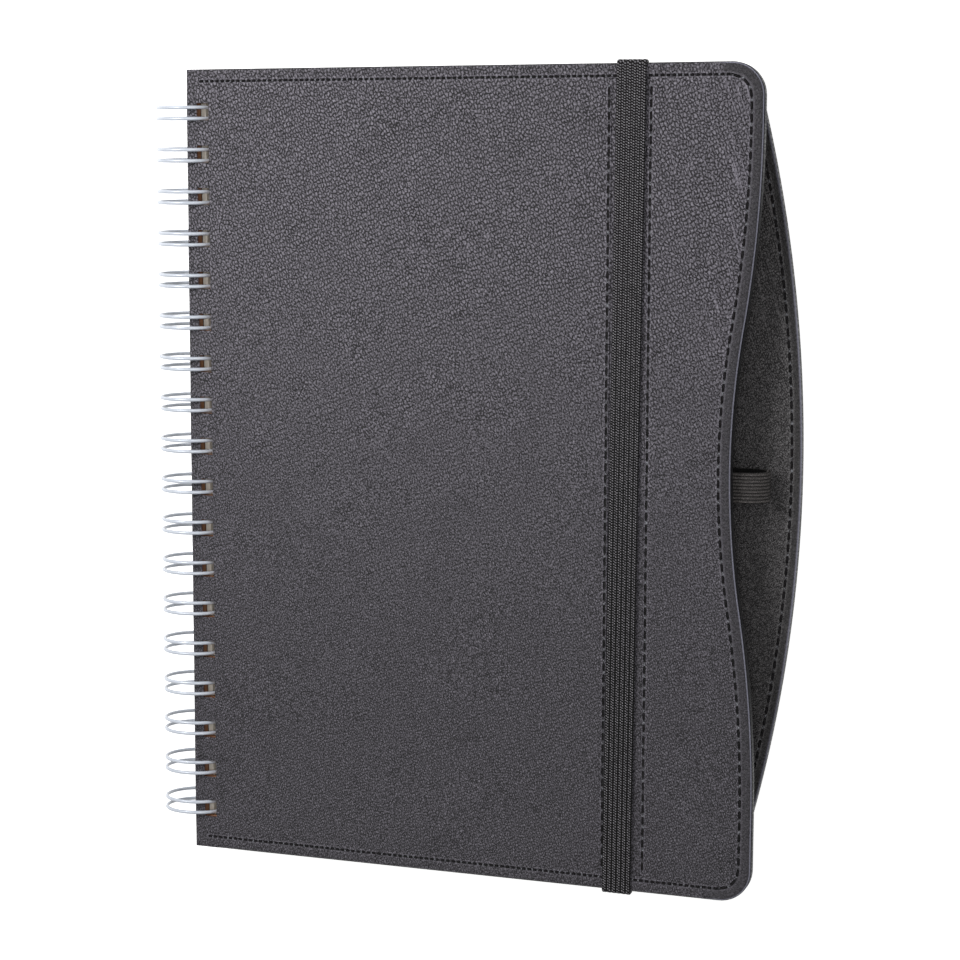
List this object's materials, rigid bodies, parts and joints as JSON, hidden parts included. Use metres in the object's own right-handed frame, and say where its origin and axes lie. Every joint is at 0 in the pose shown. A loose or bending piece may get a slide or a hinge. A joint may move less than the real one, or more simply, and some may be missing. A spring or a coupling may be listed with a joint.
{
  "type": "spiral planner",
  "caption": "Wire-bound planner with padded leather covers, a hollow front fore edge, a bulging back cover with a pen loop, and a flat elastic band round the front cover.",
  "frame": {"origin": "under the middle of the closed planner's box, at the height of the wire's lowest point", "axes": "+X from the wire to the fore edge, +Y from tail to head, +Z from the back cover to the front cover"},
  "size_m": [0.2009, 0.2434, 0.0214],
  "materials": {
    "cover_leather": "pebble grain, charcoal",
    "lining": "smooth, charcoal",
    "board": "plain brown",
    "elastic": "ribbed black elastic",
    "paper": "uncoated",
    "coated_wire": "pale silver coating"
  },
  "bodies": {
    "spine": {"page_block": "paper", "wire_binding": "coated_wire"},
    "front_cover": {"front_board": "board", "front_main_panel": "cover_leather", "front_center_strip": "cover_leather", "front_side_panel": "cover_leather", "front_lining": "lining", "elastic_band": "elastic"},
    "back_cover": {"back_board": "board", "back_leather": "cover_leather", "back_lining": "lining", "pen_loop": "elastic"}
  },
  "joints": [
    {"name": "front_cover_hinge", "type": "hinge", "parent": "spine", "child": "front_cover", "pos_m": [-0.08972, 0, 0.01075], "axis": [0, -1, 0], "range_deg": [0, 180]},
    {"name": "back_cover_hinge", "type": "hinge", "parent": "spine", "child": "back_cover", "pos_m": [-0.08972, 0, 0.01075], "axis": [0, 1, 0], "range_deg": [0, 180]}
  ]
}
